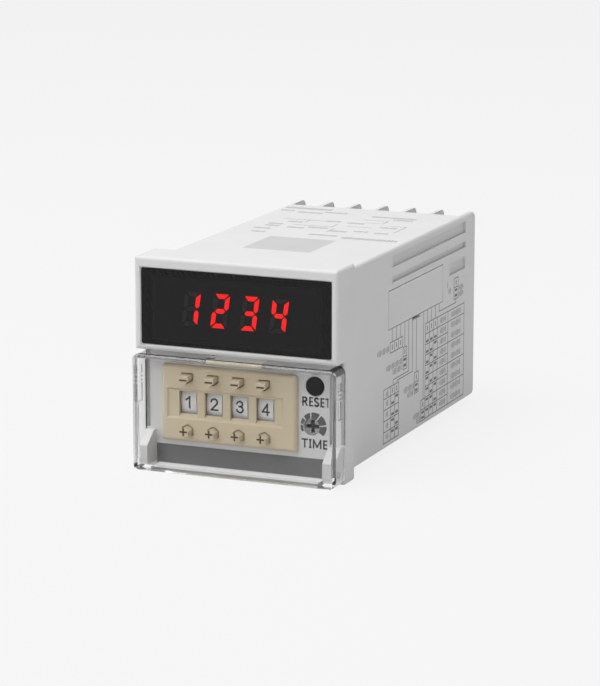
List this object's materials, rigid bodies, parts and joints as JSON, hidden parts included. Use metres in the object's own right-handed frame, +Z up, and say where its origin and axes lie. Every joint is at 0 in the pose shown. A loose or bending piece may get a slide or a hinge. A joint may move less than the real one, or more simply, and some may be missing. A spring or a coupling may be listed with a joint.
{
  "type": "panel counter",
  "caption": "Square-fronted panel counter: lit red digits above a push-wheel preset switch under a hinged clear cover, long case, rear screw terminals.",
  "frame": {"origin": "centre of the flange's rear face, where it lies on the panel", "axes": "+X right seen from the front, +Y from the front into the panel, +Z up"},
  "size_m": [0.048, 0.0934, 0.048],
  "materials": {
    "housing_grey": "fine moulded texture",
    "smoked_window": "polished smoked acrylic",
    "display_black": "dull black",
    "lit_red": "lit red diffuser",
    "unlit_grey": "unlit diffuser",
    "circuit_board": "green solder mask",
    "switch_beige": "satin moulded",
    "steel": "ground",
    "wheel_white": "satin moulded",
    "reset_black": "satin moulded",
    "component_black": "moulded epoxy",
    "dial_grey": "satin moulded",
    "trimmer_blue": "moulded",
    "clear_cover": "polished clear polycarbonate",
    "core_steel": "stacked laminations",
    "bobbin_yellow": "taped winding",
    "relay_blue": "moulded",
    "capacitor_sleeve": "shrunk sleeve",
    "selector_red": "moulded",
    "lever_white": "moulded",
    "terminal_brass": "tinned",
    "screw_steel": "zinc plated"
  },
  "bodies": {
    "housing": {"rear_case": "housing_grey", "front_bezel": "housing_grey", "selector_cover": "housing_grey", "terminal_block": "housing_grey", "display_window": "smoked_window", "display_module": "display_black", "lit_segments": "lit_red", "dark_segments": "unlit_grey", "display_board": "circuit_board", "switch_board": "circuit_board", "main_board": "circuit_board", "power_board": "circuit_board", "switch_frame": "switch_beige", "wheel_axle": "steel", "reset_switch": "component_black", "processor_chip": "component_black", "board_header": "component_black", "trimmer_body": "trimmer_blue", "transformer_core": "core_steel", "transformer_bobbin": "bobbin_yellow", "relay": "relay_blue", "capacitors": "capacitor_sleeve", "selector_switch": "selector_red", "terminal_plates": "terminal_brass", "terminal_screws": "screw_steel"},
    "front_cover": {"front_cover": "clear_cover"},
    "reset_button": {"reset_button": "reset_black"},
    "time_dial": {"time_dial": "dial_grey"},
    "digit_wheel_1": {"digit_wheel_1": "wheel_white"},
    "digit_wheel_2": {"digit_wheel_2": "wheel_white"},
    "digit_wheel_3": {"digit_wheel_3": "wheel_white"},
    "digit_wheel_4": {"digit_wheel_4": "wheel_white"},
    "minus_button_1": {"minus_button_1": "switch_beige"},
    "minus_button_2": {"minus_button_2": "switch_beige"},
    "minus_button_3": {"minus_button_3": "switch_beige"},
    "minus_button_4": {"minus_button_4": "switch_beige"},
    "plus_button_1": {"plus_button_1": "switch_beige"},
    "plus_button_2": {"plus_button_2": "switch_beige"},
    "plus_button_3": {"plus_button_3": "switch_beige"},
    "plus_button_4": {"plus_button_4": "switch_beige"},
    "selector_lever_1": {"selector_lever_1": "lever_white"},
    "selector_lever_2": {"selector_lever_2": "lever_white"},
    "selector_lever_3": {"selector_lever_3": "lever_white"},
    "selector_lever_4": {"selector_lever_4": "lever_white"},
    "selector_lever_5": {"selector_lever_5": "lever_white"},
    "selector_lever_6": {"selector_lever_6": "lever_white"},
    "selector_lever_7": {"selector_lever_7": "lever_white"},
    "selector_lever_8": {"selector_lever_8": "lever_white"},
    "selector_lever_9": {"selector_lever_9": "lever_white"},
    "selector_lever_10": {"selector_lever_10": "lever_white"}
  },
  "joints": [
    {"name": "cover_hinge", "type": "hinge", "parent": "housing", "child": "front_cover", "pos_m": [0, -0.0079, -0.021], "axis": [1, 0, 0], "range_deg": [0, 90]},
    {"name": "wheel_turn_1", "type": "hinge", "parent": "housing", "child": "digit_wheel_1", "pos_m": [-0.0127, 0.0021, -0.0088], "axis": [1, 0, 0], "continuous": true},
    {"name": "wheel_turn_2", "type": "hinge", "parent": "housing", "child": "digit_wheel_2", "pos_m": [-0.00658, 0.0021, -0.0088], "axis": [1, 0, 0], "continuous": true},
    {"name": "wheel_turn_3", "type": "hinge", "parent": "housing", "child": "digit_wheel_3", "pos_m": [-0.00046, 0.0021, -0.0088], "axis": [1, 0, 0], "continuous": true},
    {"name": "wheel_turn_4", "type": "hinge", "parent": "housing", "child": "digit_wheel_4", "pos_m": [0.00566, 0.0021, -0.0088], "axis": [1, 0, 0], "continuous": true},
    {"name": "minus_press_1", "type": "slide", "parent": "housing", "child": "minus_button_1", "axis": [0, 1, 0], "range_m": [0, 0.001], "stiffness_N_per_m": 400, "springref_m": -0.0015},
    {"name": "minus_press_2", "type": "slide", "parent": "housing", "child": "minus_button_2", "axis": [0, 1, 0], "range_m": [0, 0.001], "stiffness_N_per_m": 400, "springref_m": -0.0015},
    {"name": "minus_press_3", "type": "slide", "parent": "housing", "child": "minus_button_3", "axis": [0, 1, 0], "range_m": [0, 0.001], "stiffness_N_per_m": 400, "springref_m": -0.0015},
    {"name": "minus_press_4", "type": "slide", "parent": "housing", "child": "minus_button_4", "axis": [0, 1, 0], "range_m": [0, 0.001], "stiffness_N_per_m": 400, "springref_m": -0.0015},
    {"name": "plus_press_1", "type": "slide", "parent": "housing", "child": "plus_button_1", "axis": [0, 1, 0], "range_m": [0, 0.001], "stiffness_N_per_m": 400, "springref_m": -0.0015},
    {"name": "plus_press_2", "type": "slide", "parent": "housing", "child": "plus_button_2", "axis": [0, 1, 0], "range_m": [0, 0.001], "stiffness_N_per_m": 400, "springref_m": -0.0015},
    {"name": "plus_press_3", "type": "slide", "parent": "housing", "child": "plus_button_3", "axis": [0, 1, 0], "range_m": [0, 0.001], "stiffness_N_per_m": 400, "springref_m": -0.0015},
    {"name": "plus_press_4", "type": "slide", "parent": "housing", "child": "plus_button_4", "axis": [0, 1, 0], "range_m": [0, 0.001], "stiffness_N_per_m": 400, "springref_m": -0.0015},
    {"name": "reset_press", "type": "slide", "parent": "housing", "child": "reset_button", "axis": [0, 1, 0], "range_m": [0, 0.0004], "stiffness_N_per_m": 600, "springref_m": -0.001},
    {"name": "time_turn", "type": "hinge", "parent": "housing", "child": "time_dial", "pos_m": [0.01615, -0.004, -0.01158], "axis": [0, -1, 0], "range_deg": [-140, 140]},
    {"name": "selector_slide_1", "type": "slide", "parent": "housing", "child": "selector_lever_1", "axis": [0, 0, 1], "range_m": [0, 0.002]},
    {"name": "selector_slide_2", "type": "slide", "parent": "housing", "child": "selector_lever_2", "axis": [0, 0, 1], "range_m": [0, 0.002]},
    {"name": "selector_slide_3", "type": "slide", "parent": "housing", "child": "selector_lever_3", "axis": [0, 0, 1], "range_m": [0, 0.002]},
    {"name": "selector_slide_4", "type": "slide", "parent": "housing", "child": "selector_lever_4", "axis": [0, 0, 1], "range_m": [0, 0.002]},
    {"name": "selector_slide_5", "type": "slide", "parent": "housing", "child": "selector_lever_5", "axis": [0, 0, 1], "range_m": [0, 0.002]},
    {"name": "selector_slide_6", "type": "slide", "parent": "housing", "child": "selector_lever_6", "axis": [0, 0, 1], "range_m": [0, 0.002]},
    {"name": "selector_slide_7", "type": "slide", "parent": "housing", "child": "selector_lever_7", "axis": [0, 0, 1], "range_m": [0, 0.002]},
    {"name": "selector_slide_8", "type": "slide", "parent": "housing", "child": "selector_lever_8", "axis": [0, 0, 1], "range_m": [0, 0.002]},
    {"name": "selector_slide_9", "type": "slide", "parent": "housing", "child": "selector_lever_9", "axis": [0, 0, 1], "range_m": [0, 0.002]},
    {"name": "selector_slide_10", "type": "slide", "parent": "housing", "child": "selector_lever_10", "axis": [0, 0, 1], "range_m": [0, 0.002]}
  ]
}
